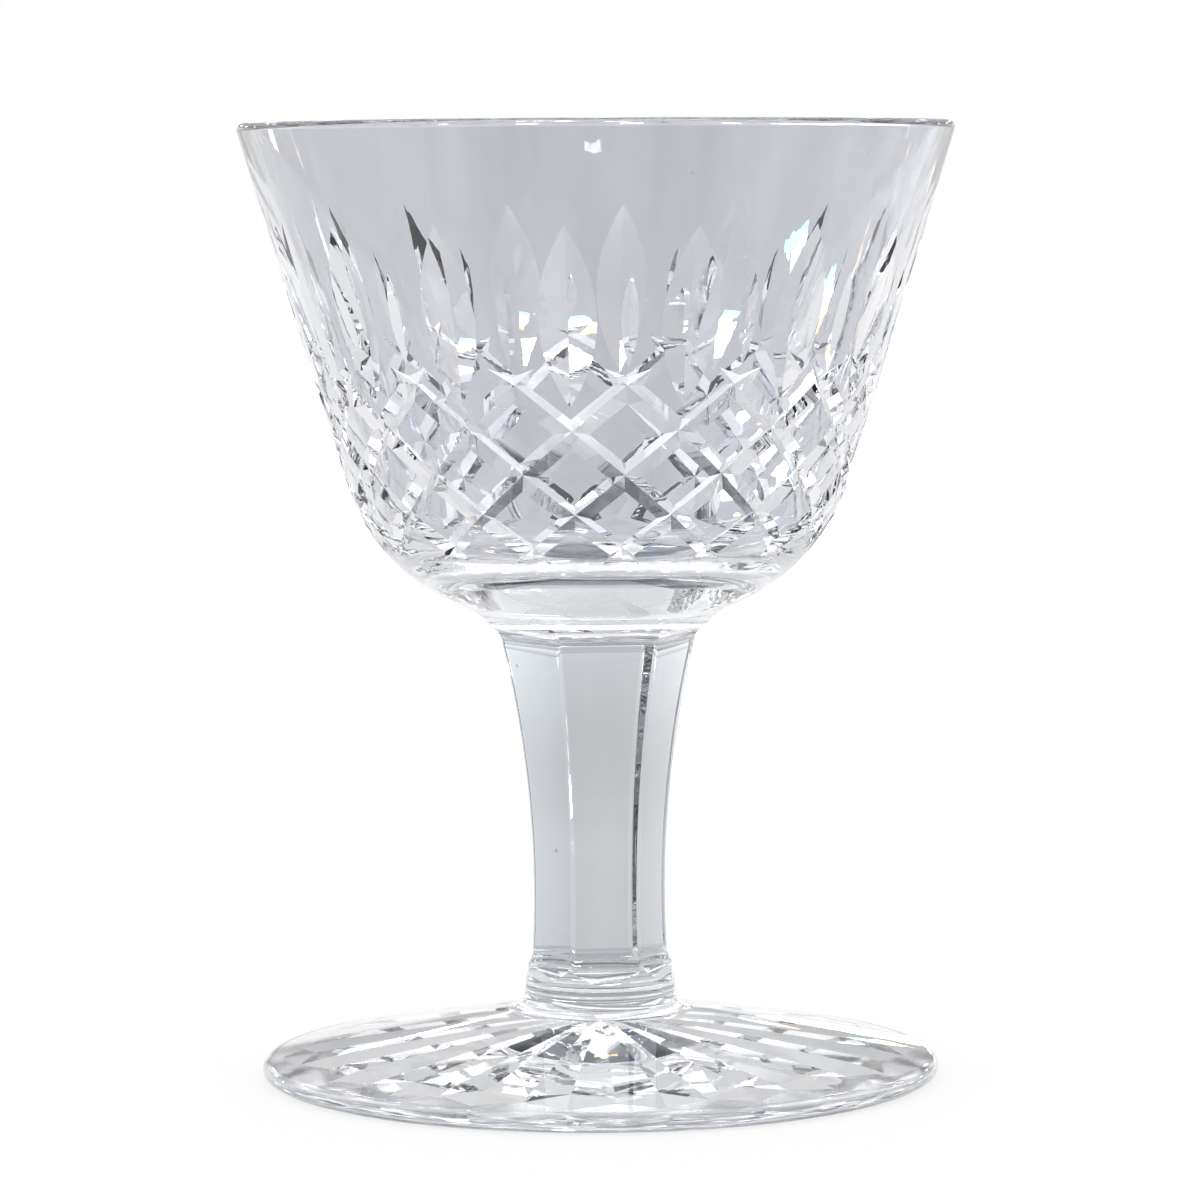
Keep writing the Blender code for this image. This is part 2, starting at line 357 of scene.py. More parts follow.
def crease_point(column, row):
    """Index of a point on the map, made once."""
    key = round(column, 9), round(row, 9)
    return crease_points.setdefault(key, len(crease_points))


def crease(start, end, step=CREASE_STEP):
    """A straight crease between two places on the map, kept where it lies in the column 0 to 1."""
    start, end = np.array(start, float), np.array(end, float)
    run = end[0] - start[0]
    shares = [0.0, 1.0]
    if abs(run) > SAME_PLACE:
        sides = sorted(((0 - start[0]) / run, (1 - start[0]) / run))
        shares = [max(0.0, sides[0]), min(1.0, sides[1])]
    elif not -SAME_PLACE <= start[0] <= 1 + SAME_PLACE:
        return
    if shares[1] - shares[0] < SHORTEST_SHARE:
        return
    start, end = start + (end - start) * shares[0], start + (end - start) * shares[1]
    count = max(1, math.ceil(np.linalg.norm(end - start) / step))
    indices = [crease_point(*(start + (end - start) * i / count)) for i in range(count + 1)]
    crease_edges.update(zip(indices, indices[1:]))


def from_lines(falling, rising):
    """Place on the map where a falling line and a rising line cross."""
    return (falling - rising) / 2, (falling + rising) / 2


def on_groove(across, along, swap):
    """Place on the map for a groove of the falling set, or if swapped of the rising set."""
    return from_lines(along, across) if swap else from_lines(across, along)


print(f"creases: in steps of {CREASE_STEP:.3f} of a column")

# %% Grooves, mitres and tails of one column
half, reach = groove_half, groove_reach
tuck = half * (reach - half) / reach  # where a tail's edge meets the edge of the groove it crosses
peak = half * reach / (half + reach)  # where the edges of two tails meet
last = COLUMNS_CROSSED * 2
for n in range(-1, last + 1):
    for swap in False, True:
        # One groove: its bottom, from tail to tail, then its two edges between the crossings.
        crease(on_groove(n, -n - reach, swap), on_groove(n, last - n + reach, swap))
        for side in -half, half:
            for crossing in range(last):
                start = crossing - n + (tuck if crossing == 0 and side < 0 else half)
                end = crossing + 1 - n - (tuck if crossing == last - 1 and side > 0 else half)
                crease(on_groove(n + side, start, swap), on_groove(n + side, end, swap))
    for m in range(-last, last + 1):
        # One crossing: mitres to its corners, and at the ends the pointed tails.
        crossing = n + m
        if not 0 <= crossing <= last:
            continue
        centre = n, m
        corners = [(-half, -half), (half, half), (-half, half), (half, -half)]
        tails = []
        if crossing in (0, last):
            way = 1 if crossing == last else -1
            corners = [
                (-half * way, -half * way),
                (half * way, -tuck * way),
                (-tuck * way, half * way),
                (peak * way, peak * way),
            ]
            tails = [(reach * way, 0), (0, reach * way)]
        for corner in corners:
            crease(from_lines(*centre), from_lines(n + corner[0], m + corner[1]))
        for tail, inner in zip(tails, corners[1:3]):
            for corner in inner, corners[3]:
                crease(from_lines(n + tail[0], m + tail[1]), from_lines(n + corner[0], m + corner[1]))

print(f"lattice: {len(crease_edges)} crease edges in a column")

# %% Outlines of the upright cuts
UPRIGHT_STEPS = 22

for middle, low, high, deepest, half_width in uprights:
    for i in range(UPRIGHT_STEPS):
        here, there = i / UPRIGHT_STEPS, (i + 1) / UPRIGHT_STEPS
        places = [(low + (high - low) * t, half_width * 4 * t * (1 - t)) for t in (here, there)]
        for centre in {middle, middle + round(1 - middle)}:
            for side in -1, 0, 1:
                ends = [(centre + side * bulge, row) for row, bulge in places]
                crease(*ends, step=1.0)

print(f"with the upright cuts: {len(crease_edges)} crease edges")

# %% Fill the column with triangles
STEPS_PER_COLUMN = TURN_STEPS // COLUMNS
FILL_STEP = 1 / STEPS_PER_COLUMN
CLEAR_OF_CREASES = 0.5 * FILL_STEP
STAGGER = 0.25
FILL_TOLERANCE = 1e-6

drawn = np.array(list(crease_points))
border = sorted({row for column, row in crease_points if column in (0.0, 1.0)})
fill_rows = np.linspace(*band_rows, round((band_rows[1] - band_rows[0]) / FILL_STEP) + 1)
border += [row for row in fill_rows[1:-1] if np.abs(np.array(border) - row).min() > CLEAR_OF_CREASES]
border = [band_rows[0], *sorted(border), band_rows[1]]
for column in 0.0, 1.0:
    indices = [crease_point(column, row) for row in border]
    crease_edges.update(zip(indices, indices[1:]))
for row in band_rows:
    indices = [crease_point(i / STEPS_PER_COLUMN, row) for i in range(STEPS_PER_COLUMN + 1)]
    crease_edges.update(zip(indices, indices[1:]))
for i, row in enumerate(fill_rows[1:-1]):
    for j in range(1, STEPS_PER_COLUMN):
        column = (j + STAGGER * (-1) ** i) * FILL_STEP
        if np.hypot(*(drawn - (column, row)).T).min() > CLEAR_OF_CREASES:
            crease_point(column, row)

points, _, triangles, *_ = delaunay_2d_cdt(
    [Vector(p) for p in crease_points], [tuple(e) for e in crease_edges], [], 0, FILL_TOLERANCE
)
flat = np.array(points)[np.array(triangles)]
edges = flat[:, 1:] - flat[:, :1]
turned_over = edges[:, 0, 0] * edges[:, 1, 1] < edges[:, 0, 1] * edges[:, 1, 0]
flat[turned_over] = flat[turned_over][:, ::-1]
print(f"one column: {len(flat)} triangles")

# %% [markdown]
# The flat triangles now go on to the bowl. A corner on a crease belongs to two or more facets, so its
# direction is measured a little way inside its own triangle, from how the surface moves for a small
# step across and a small step up. One column is made, and the others are turned copies of it. Cuts are
# held to the wheel by hand, so each facet also gets a small tilt and a tone of its own, by chance.

# %% Directions of the column's facets
INSIDE_SHARE = 0.06
SMALL_STEP = 1e-5

inner = flat + (flat.mean(axis=1, keepdims=True) - flat) * INSIDE_SHARE
column, row = inner[..., 0], inner[..., 1]
across = on_bowl(column + SMALL_STEP, row) - on_bowl(column - SMALL_STEP, row)
upward = on_bowl(column, row + SMALL_STEP) - on_bowl(column, row - SMALL_STEP)
normals = np.cross(across, upward)
normals /= np.linalg.norm(normals, axis=-1, keepdims=True)
corners = on_bowl(flat[..., 0], flat[..., 1])
sideways = np.cross((0, 0, 1), normals)
lengthways = np.cross(normals, sideways)
print(f"column: {1000 * np.ptp(corners[..., 2]):.1f} mm high on the bowl")

# %% Wrap the columns round the bowl
FACET_TILT = math.radians(1.6)
# Share of the bowl's lighter tint on its cut facets: painted light, for the bright surroundings that
# cuts catch
FACET_PAINTED_TINT = 0.45
UNCUT = 1e-7
CHANCE_WEIGHTS = 12.9898, 78.233, 37.719, 91.717, 53.347
CHANCE_SCATTER = 43758.5453


def chance(*numbers):
    """A number from -1 to 1 that is always the same for the same whole numbers."""
    mixed = sum(number * weight for number, weight in zip(numbers, CHANCE_WEIGHTS))
    return 2 * (np.sin(mixed) * CHANCE_SCATTER % 1) - 1


def by_hand(column, row):
    """For the facet at each place on the map: 1 if it is cut, its tone, and its tilt both ways."""
    depth = np.full_like(column, UNCUT)
    values = np.zeros((*column.shape, 4))
    for kind, (cut, *facet) in enumerate(cuts(column, row)):
        facet[0] = facet[0] % COLUMNS
        own = np.stack([np.ones_like(column), *(chance(n, kind, *facet) for n in range(3))], -1)
        values = np.where((cut > depth)[..., None], own, values)
        depth = np.maximum(depth, cut)
    return values


bowl_skin = Skin()
for k in range(COLUMNS):
    cos, sin = math.cos(k * column_turn), math.sin(k * column_turn)
    turn = np.array([[cos, sin, 0], [-sin, cos, 0], [0, 0, 1]])
    cut, tone, *tilts = by_hand(*(flat.mean(axis=1) + (k, 0)).T).T
    tilts = FACET_TILT * np.array(tilts)[..., None, None]
    tilted = normals + tilts[0] * sideways + tilts[1] * lengthways
    tilted /= np.linalg.norm(tilted, axis=-1, keepdims=True)
    bowl_skin.add(corners @ turn, tilted @ turn, np.stack([FACET_PAINTED_TINT * cut, tone, 0 * cut], -1))
print(f"cut surface: deepest cut {1000 * cut_depth(flat[..., 0], flat[..., 1]).max():.2f} mm")

# %% [markdown]
# ## Bowl: base, rim and inside
#
# The rest of the bowl is plain turned glass. A small hollow curve leads from the stem into the base.
# The rim is a full round, as a fire-polished rim is, and the inside leans a little more than the
# outside, so that the wall thickens downwards into the heavy floor.

# %% Underside of the bowl
SHOULDER_RADIUS = 0.01005
SHOULDER_HEIGHT = 0.0338
FLARE = 0.0072

flare_centre = SHOULDER_RADIUS + FLARE, stem_base + SHOULDER_HEIGHT


def flare_angle(z):
    """Angle on the hollow curve under the bowl at a height."""
    return math.pi - math.asin((z - flare_centre[1]) / FLARE)


def lifted(run):
    """A run of the bowl's own heights, set in its place on the stem."""
    return run + np.array([0, bowl_base])


to_base = base_r - flare_centre[0], bowl_base + base_z - flare_centre[1]
meet = math.atan2(to_base[1], to_base[0]) + math.acos((FLARE + BASE_CURVE) / math.hypot(*to_base))
flare = arc(flare_centre, FLARE, flare_angle(bowl_low), meet, steps=12)
band_tilt = float(outside(np.array(BAND_LOW))[1])
base = lifted(arc((base_r, base_z), BASE_CURVE, meet - math.pi, -band_tilt, steps=16))
# The hollow curve and the base carry the bowl's lighter tint in full: painted light
turned(bowl_skin, [flare, line(flare[-1], base[0]), base], PAINTED_TINT_FULL)
turned(bowl_skin, [line((0, bowl_low), flare[0])], FUSED)
print(f"hollow curve: meets the base {1000 * (flare[-1][1] - bowl_base):.2f} mm above the joint")

# %% Rim and inside of the bowl
INSIDE_LEAN = math.radians(19.4)
INSIDE_CURVE = 0.0090
FLOOR_THICKNESS = 0.0066

lip = RIM_WALL / 2
lip_z = BOWL_HEIGHT - lip
lip_r = float(outside(np.array(lip_z))[0]) - lip / math.cos(SIDE_LEAN)
rim = lifted(arc((lip_r, lip_z), lip, -SIDE_LEAN, math.pi - INSIDE_LEAN, steps=20))
inside_z = FLOOR_THICKNESS + INSIDE_CURVE
wall_top = rim[-1] - np.array([0, bowl_base])
wall_foot_r = wall_top[0] - (wall_top[1] - inside_z) * math.tan(INSIDE_LEAN)
inside_r = wall_foot_r - INSIDE_CURVE / math.cos(INSIDE_LEAN)
hollow_curve = lifted(arc((inside_r, inside_z), INSIDE_CURVE, -INSIDE_LEAN, -math.pi / 2, steps=24))
band_top = float(outside(np.array(BAND_HIGH))[0]), bowl_base + BAND_HIGH
floor_middle = 0, hollow_curve[-1][1]
# The rim carries the bowl's lighter tint in full too: painted light
turned(bowl_skin, [rim], PAINTED_TINT_FULL)
plain_runs = [
    line(band_top, rim[0]),
    line(rim[-1], hollow_curve[0], steps=6),
    hollow_curve,
    line(hollow_curve[-1], floor_middle, steps=4),
]
turned(bowl_skin, plain_runs)
bowl = bowl_skin.piece("bowl_glass", "bowl")

# %% [markdown]
# ## Stem
#
# The stem starts as a round rod with a collar at the foot and a shoulder under the bowl. Six long
# hollows, cut by a large wheel, turn it six-sided. They run out in scallops at the collar and in
# short curved steps under the bowl. At each height the section is a hexagon with its corners rounded
# off by the rod, so the mesh is a stack of such sections: a strip for each facet, and one for each
# piece of rod left between two facets. Where two facets meet and no rod is left, polishing has taken
# off the sharp edge, and the strip becomes a narrow rounding that catches the light as a thin line.

# %% Round blank and long hollows
FACETS = 6
FACET_TURN = math.radians(-84)
WAIST_ACROSS_FLATS = 0.01235
WAIST_HEIGHT = 0.0095
WHEEL_RADIUS = 0.130
FACET_LOW = 0.0030
FACET_HIGH = 0.0363
LOW_RUNOUT = 0.0050
LOW_BREAK = math.radians(15)
HIGH_RUNOUT = 0.0020
STEM_END_RADIUS = 0.0080
COLLAR_RADIUS = 0.0077
COLLAR_FLARE = 0.0013
COLLAR_HEIGHT = 0.0030


def blank_radius(z):
    """Radius of the round rod at a height above the stem's lower end."""
    share = ((COLLAR_FLARE - z) / (COLLAR_FLARE + stem_base - stem_low)).clip(0, 1)
    collar = COLLAR_RADIUS + (STEM_END_RADIUS - COLLAR_RADIUS) * share**2 * (3 - 2 * share)
    cone = (SHOULDER_RADIUS - COLLAR_RADIUS) / (SHOULDER_HEIGHT - COLLAR_HEIGHT)
    rise = (z - SHOULDER_HEIGHT).clip(0)
    return collar + cone * (z.clip(COLLAR_HEIGHT, SHOULDER_HEIGHT) - COLLAR_HEIGHT) + (
        FLARE - np.sqrt(FLARE**2 - rise**2)
    )


def hollow(z):
    """Distance of a long hollow's middle line from the axis."""
    return WAIST_ACROSS_FLATS / 2 + WHEEL_RADIUS - np.sqrt(WHEEL_RADIUS**2 - (z - WAIST_HEIGHT) ** 2)


def facet_distance(z):
    """The same with its run-outs, and outside the glass past their ends."""
    low_r = hollow(FACET_LOW) + LOW_RUNOUT * math.cos(LOW_BREAK)
    drop = FACET_LOW + LOW_RUNOUT * math.sin(LOW_BREAK) - z
    low = low_r - np.sqrt((LOW_RUNOUT**2 - drop**2).clip(0))
    high = hollow(FACET_HIGH) + HIGH_RUNOUT - np.sqrt((HIGH_RUNOUT**2 - (z - FACET_HIGH) ** 2).clip(0))
    return np.where(z < FACET_LOW, low, np.where(z > FACET_HIGH, high, hollow(z)))


print(f"stem: {1000 * WAIST_ACROSS_FLATS:.2f} mm across flats at the waist")

# %% Heights at which the stem is cut into sections
LEVEL_STEPS = 16
HALVINGS = 60
ABOVE_SCALLOPS = 0.003


def sign_change(excess, low, high):
    """Height between two others where a function changes sign."""
    for _ in range(HALVINGS):
        middle = (low + high) / 2
        same = (excess(np.array(middle)) > 0) == (excess(np.array(low)) > 0)
        low, high = (middle, high) if same else (low, middle)
    return middle


def spare(z):
    """What the wheel leaves: above 0 where the facet's middle lies outside the rod."""
    return facet_distance(z) - blank_radius(z)


def corner_spare(z):
    """Above 0 where the corner between two facets lies outside the rod."""
    return facet_distance(z) / math.cos(math.pi / FACETS) - blank_radius(z)


low_end, high_end = stem_low - stem_base, stem_high - stem_base
waist = FACET_LOW + ABOVE_SCALLOPS
tip_low = sign_change(spare, 0.0, FACET_LOW)
tip_high = sign_change(spare, FACET_HIGH, FACET_HIGH + HIGH_RUNOUT)
corner_low = sign_change(corner_spare, tip_low, waist)
corner_high = sign_change(corner_spare, waist, tip_high)
stations = sorted({low_end, tip_low, FACET_LOW, corner_low, corner_high, FACET_HIGH, tip_high, high_end})


def levels_between(start, end):
    """Heights from start to end, bunched at the stations, where scallops begin and end."""
    levels = [start]
    stops = [t for t in stations if start <= t <= end]
    for low, high in zip(stops, stops[1:]):
        steps = np.arange(1, LEVEL_STEPS + 1) / LEVEL_STEPS
        levels.extend(low + (high - low) * (1 - np.cos(math.pi * steps)) / 2)
    return np.array(levels)


print("scallops end at", [round(1000 * t, 2) for t in (tip_low, tip_high)], "mm up the stem")

# %% Lay a strip of the stem
NUDGE = 1e-4
SLOPE_STEP = 1e-7

stem_skin = Skin()


def slope_of(shape, levels):
    """How fast a radius grows upwards, measured just inside the run of levels at its two ends."""
    inner = levels + (levels.mean() - levels) * NUDGE
    rise = shape(inner + SLOPE_STEP) - shape(inner - SLOPE_STEP)
    return (rise / (2 * SLOPE_STEP))[:, None, None]


def strip(level_heights, points, way, slope, marks):
    """A strip of the stem from points and directions in plan; slope tips the directions down."""
    shape = points.shape[:2] + (1,)
    level_heights = np.broadcast_to(level_heights[:, None, None], shape)
    normals = np.concatenate([np.broadcast_to(way, points.shape), -np.broadcast_to(slope, shape)], -1)
    normals /= np.linalg.norm(normals, axis=-1, keepdims=True)
    stem_skin.grid(np.concatenate([points, level_heights], -1), normals, marks)


def heading(turns):
    """Directions in plan."""
    return np.stack([np.cos(turns), np.sin(turns)], -1)


print("strips: slopes are measured over", 2 * SLOPE_STEP, "m")

# %% Stack the sections
FACET_STRIPS = 12
ROD_STRIPS = TURN_STEPS // FACETS
EDGE_ROUND = 0.00062
EDGE_FROM = math.radians(4)  # half the turn of rod at which the rounding begins to take over


def sections(levels):
    """All facets and the rod between them, over one run of levels."""
    half = math.pi / FACETS
    rod_r = blank_radius(levels)
    uncut = (levels <= tip_low) | (levels >= tip_high)
    facet_r = np.where(uncut, rod_r, np.minimum(facet_distance(levels), rod_r))
    cut_half = np.minimum(np.arccos(facet_r / rod_r), half)
    rod_half = half - cut_half
    rod_r = np.minimum(rod_r, facet_r / np.cos(cut_half))
    facet_slope, rod_slope = slope_of(facet_distance, levels), slope_of(blank_radius, levels)

    # Share of the rounding, which takes over as the rod between two facets runs out
    share = (1 - rod_half / EDGE_FROM).clip(0, 1)[:, None]
    share = share**2 * (3 - 2 * share)
    facet_width = (1 - share) * (np.tan(cut_half) * facet_r)[:, None]
    facet_width = facet_width + share * (facet_r - EDGE_ROUND)[:, None] * math.tan(half)
    spread = np.linspace(-1, 1, ROD_STRIPS + 1)
    edge_slope = facet_slope * (np.cos(half * spread) / math.cos(half))[:, None]
    slope = (1 - share[..., None]) * rod_slope + share[..., None] * edge_slope
    for n in range(FACETS):
        turn = FACET_TURN + math.tau * n / FACETS
        out, side = np.array([[math.cos(turn), math.sin(turn)], [-math.sin(turn), math.cos(turn)]])
        off = facet_width * np.linspace(-1, 1, FACET_STRIPS + 1)
        points = facet_r[:, None, None] * out + off[..., None] * side
        # Each facet carries the stem's second tint, darker than the rod and the roundings: painted shade
        strip(stem_base + levels, points, out, facet_slope, (1, chance(n, FACETS), 0))

        edge_turn = turn + half
        on_rod = rod_r[:, None, None] * heading(edge_turn + rod_half[:, None] * spread)
        round_from_axis = (facet_r - EDGE_ROUND) / math.cos(half)
        on_edge = round_from_axis[:, None, None] * heading(edge_turn)
        on_edge = on_edge + EDGE_ROUND * heading(edge_turn + half * spread)
        points = (1 - share[..., None]) * on_rod + share[..., None] * on_edge
        way = heading(edge_turn + ((1 - share) * rod_half[:, None] + share * half) * spread)
        strip(stem_base + levels, points, way, slope, PLAIN)


for start, end in (low_end, FACET_LOW), (FACET_LOW, FACET_HIGH), (FACET_HIGH, high_end):
    sections(levels_between(start, end))
shoulder_r = float(blank_radius(np.array(high_end)))
turned(stem_skin, [line((0, stem_low), (STEM_END_RADIUS, stem_low))], FUSED)
turned(stem_skin, [line((shoulder_r, stem_high), (0, stem_high))], FUSED)
stem = stem_skin.piece("stem_glass", "stem")

# %% [markdown]
# ## Foot
#
# The foot is a low cone with a rounded edge and a hollow curve up to the stem. Its underside carries
# Each ray has two flat sides that are deepest near the tip, so the star is a pleated sheet of flat
# triangles, and every one throws a different patch of light up through the top of the foot. A thin
# strip along each ridge carries a painted highlight. On the real glass the lower part of the edge and
# the ring under the collar look darker; here that darkness is painted shade, and the rest of the edge
# carries a lighter painted shade.

# %% Turned top and edge of the foot
FOOT_RADIUS = 0.0362
EDGE_THICKNESS = 0.0022
REST_RADIUS = 0.0348
FOOT_SLOPE = math.radians(11)
NECK_FILLET = 0.0025
EDGE_STEPS = 24
# The foot's painted shade: deep on the lower edge and the ring under the collar, lighter on the rest of
# the edge
EDGE_DEEP_SHADE_STEPS = 8  # the part of the edge, from below, that looks darker
EDGE_PAINTED_SHADE = -1.3
PAINTED_SHADE_TONE = -3.6

half_edge = EDGE_THICKNESS / 2
edge_depth = FOOT_RADIUS - REST_RADIUS
edge_end = math.atan2(half_edge, edge_depth * math.tan(FOOT_SLOPE))
edge = arc((0, 0), 1, -math.pi / 2, edge_end, EDGE_STEPS)
edge = edge * (edge_depth, half_edge) + (REST_RADIUS, half_edge)
neck_r = STEM_END_RADIUS + NECK_FILLET
slope_rise = (REST_RADIUS - neck_r) * math.tan(FOOT_SLOPE)
neck_z = EDGE_THICKNESS + slope_rise + NECK_FILLET / math.cos(FOOT_SLOPE)
neck = arc((neck_r, neck_z), NECK_FILLET, 1.5 * math.pi - FOOT_SLOPE, math.pi, steps=24)
neck_top = STEM_END_RADIUS, foot_top
foot_skin = Skin()
edge_with_deep_painted_shade, edge_with_painted_shade = edge[: EDGE_DEEP_SHADE_STEPS + 1], edge[EDGE_DEEP_SHADE_STEPS:]
# Painted shade on the lower edge and the ring under the collar, and a lighter one on the rest of the
# edge
turned(foot_skin, [edge_with_deep_painted_shade, line(neck[-1], neck_top)], (0, PAINTED_SHADE_TONE, 0))
turned(foot_skin, [edge_with_painted_shade], (0, EDGE_PAINTED_SHADE, 0))
turned(foot_skin, [line(edge[-1], neck[0], steps=8), neck])
turned(foot_skin, [line(neck_top, (0, foot_top))], FUSED)
print(f"foot: edge to {1000 * edge[-1][1]:.2f} mm, neck from {1000 * neck[0][1]:.2f} mm")

# %% Star under the foot
STAR_RAYS = 20
STAR_TURN = math.radians(3)
STAR_TIP = 0.0322
STAR_BELLY = 0.0285
STAR_DEPTH = 0.0015
STAR_RIDGE = 0.00035
STAR_CENTRE = 0.0005
# A thin strip along each ridge of the star carries a painted highlight
RIDGE_HIGHLIGHT_SHARE = 0.10
RIDGE_PAINTED_HIGHLIGHT = 1.6
RIDGE_STRETCH = 1.8
RING_STEPS = TURN_STEPS // (2 * STAR_RAYS)

ridge_length = (STAR_TIP - STAR_BELLY) * STAR_RIDGE / STAR_DEPTH * RIDGE_STRETCH
ray_half = math.pi / STAR_RAYS


def under(radius, turn, z):
    """Point on the underside."""
    return np.array([radius * math.cos(turn), radius * math.sin(turn), z])


def facet(a, b, c, marks=PLAIN):
    """One flat facet that faces down."""
    normal = np.cross(b - a, c - a)
    if normal[2] > 0:
        b, c, normal = c, b, -normal
    normal = normal / np.linalg.norm(normal)
    foot_skin.add(np.array([[a, b, c]]), np.broadcast_to(normal, (1, 3, 3)), marks)


middle = under(0, 0, STAR_CENTRE)
for n in range(STAR_RAYS):
    valley_turn = STAR_TURN + (2 * n + 1) * ray_half
    valley = under(STAR_BELLY, valley_turn, STAR_DEPTH)
    tip = under(STAR_TIP, valley_turn, 0)
    for side in -1, 1:
        ridge_turn = valley_turn + side * ray_half
        ridge = under(STAR_BELLY, ridge_turn, STAR_RIDGE)
        ridge_end = under(STAR_BELLY + ridge_length, ridge_turn, 0)
        # The star's facets carry the foot's lighter tint, painted light, and a tone of their own at
        # random
        marks = 1, chance(n, side, STAR_RAYS), 0
        # The strip along the ridge carries the painted highlight
        beside = ridge + (valley - ridge) * RIDGE_HIGHLIGHT_SHARE
        facet(middle, valley, beside, marks)
        facet(middle, beside, ridge, (1, RIDGE_PAINTED_HIGHLIGHT, 0))
        facet(beside, ridge, ridge_end, (1, RIDGE_PAINTED_HIGHLIGHT, 0))
        facet(valley, beside, ridge_end, marks)
        for i in range(RING_STEPS):
            here, there = (ridge_end + (tip - ridge_end) * t / RING_STEPS for t in (i, i + 1))
            facet(valley, here, there, marks)
            outer_turns = [ridge_turn - side * ray_half * t / RING_STEPS for t in (i, i + 1)]
            outer = [under(REST_RADIUS, turn, 0) for turn in outer_turns]
            facet(here, there, outer[0])
            facet(there, outer[0], outer[1])
foot = foot_skin.piece("foot_glass", "foot")

# %% [markdown]
# ## Crystal
#
# Lead crystal is clear and bends light strongly. Seen against white it never reads as white: the
# surfaces throw part of the light aside, and the glass itself takes more, the longer the way through
# it. Each piece also carries a grey tint, which is painted shade for the grey surroundings that clear
# glass shows. The skin that was blown and fire-polished has faint upright streaks and a few specks:
# the streaks are a slight waviness, and in its colour they are painted reflections. The cut facets
# were polished again and carry a second tint, which is painted light and shade: lighter on the bowl
# and the foot, for the bright surroundings that cuts catch, and darker on the stem. The bowl's rim and
# base carry the lighter tint in full. No two facets are quite alike. The ring that the glass stands on
# is scratched dull.

# %% Short names for shader nodes
def math_node(nodes, links, operation, *values):
    """The result of a Math node; each value is a socket or a number."""
    node = nodes.new("ShaderNodeMath")
    node.operation = operation
    for socket, value in zip(node.inputs, values):
        if isinstance(value, (int, float)):
            socket.default_value = value
        else:
            links.new(value, socket)
    return node.outputs[0]


def ramp(nodes, links, value, start, end, low, high):
    """A smooth change from low to high while the value goes from start to end."""
    node = nodes.new("ShaderNodeMapRange")
    node.interpolation_type = "SMOOTHSTEP"
    for name, number in ("From Min", start), ("From Max", end), ("To Min", low), ("To Max", high):
        node.inputs[name].default_value = number
    links.new(value, node.inputs["Value"])
    return node.outputs[0]


def texture(nodes, links, kind, output, scale, stretch=(1, 1, 1), **settings):
    """A 3-D texture in the glass's own coordinates, in features to the metre."""
    place = nodes.new("ShaderNodeMapping")
    place.inputs["Scale"].default_value = stretch
    links.new(nodes.new("ShaderNodeTexCoord").outputs["Object"], place.inputs["Vector"])
    node = nodes.new(kind)
    node.inputs["Scale"].default_value = scale
    for name, number in settings.items():
        node.inputs[name].default_value = number
    links.new(place.outputs["Vector"], node.inputs["Vector"])
    return node.outputs[output]


def mark(nodes, name):
    """A mark that the skin carries."""
    node = nodes.new("ShaderNodeAttribute")
    node.attribute_name = name
    return node.outputs["Fac"]


def tinted(nodes, links, colour, factor):
    """A colour made lighter or darker by a factor."""
    node = nodes.new("ShaderNodeVectorMath")
    node.operation = "SCALE"
    links.new(colour, node.inputs[0])
    links.new(factor, node.inputs["Scale"])
    return node.outputs["Vector"]


# %% Colour of the surfaces
# The streaks in the colour are painted reflections; as relief the same noise is a real waviness
STREAKS_PER_METRE = 260
STREAK_STRETCH = 1, 1, 0.06
STREAK_RANGE = 0.3, 0.7
STREAK_PAINTED_REFLECTION = 0.03
SPECKS_PER_METRE = 110
SPECK_SIZE = 0.016
SPECK_TONE = 0.35


def streaks(nodes, links):
    """Faint upright streaks: a slight waviness as relief, and painted reflections in the colour."""
    return texture(
        nodes, links, "ShaderNodeTexNoise", "Fac", STREAKS_PER_METRE, STREAK_STRETCH, Detail=3
    )


def surface_colour(nodes, links, streak, plain, painted_tint_colour, tone_range, warmth):
    """Grey tint or painted second tint, with each facet's own tone, painted reflection streaks and a few
    dark specks.
    """
    surface = nodes.new("ShaderNodeMix")
    surface.data_type = "RGBA"
    surface.inputs["A"].default_value = (*plain, 1)
    surface.inputs["B"].default_value = (*painted_tint_colour, 1)
    # The mark mixes the grey tint, painted shade, with the second tint, painted light and shade
    links.new(mark(nodes, "painted_tint"), surface.inputs["Factor"])
    tone = nodes.new("ShaderNodeVectorMath")
    tone.operation = "MULTIPLY_ADD"
    links.new(mark(nodes, "tone"), tone.inputs[0])
    tone.inputs[1].default_value = tone_range + warmth, tone_range, tone_range - warmth
    tone.inputs[2].default_value = 1, 1, 1
    own = nodes.new("ShaderNodeVectorMath")
    own.operation = "MULTIPLY"
    links.new(surface.outputs["Result"], own.inputs[0])
    links.new(tone.outputs[0], own.inputs[1])
    # Painted reflections: faint upright streaks of lighter and darker colour
    painted_streaks = ramp(nodes, links, streak, *STREAK_RANGE, 1 - STREAK_PAINTED_REFLECTION, 1 + STREAK_PAINTED_REFLECTION)
    speck = texture(nodes, links, "ShaderNodeTexVoronoi", "Distance", SPECKS_PER_METRE)
    speck = ramp(nodes, links, speck, SPECK_SIZE, 2 * SPECK_SIZE, SPECK_TONE, 1.0)
    return tinted(nodes, links, own.outputs[0], math_node(nodes, links, "MULTIPLY", painted_streaks, speck))


print("surfaces:", STREAKS_PER_METRE, "streaks and", SPECKS_PER_METRE, "specks to the metre")

# %% Wear on the ring
WEAR = 0.30
WEAR_HEIGHTS = 0.00002, 0.00025
SCRATCHES_PER_METRE = 2600
SCRATCH_STRETCH = 1, 0.1, 1


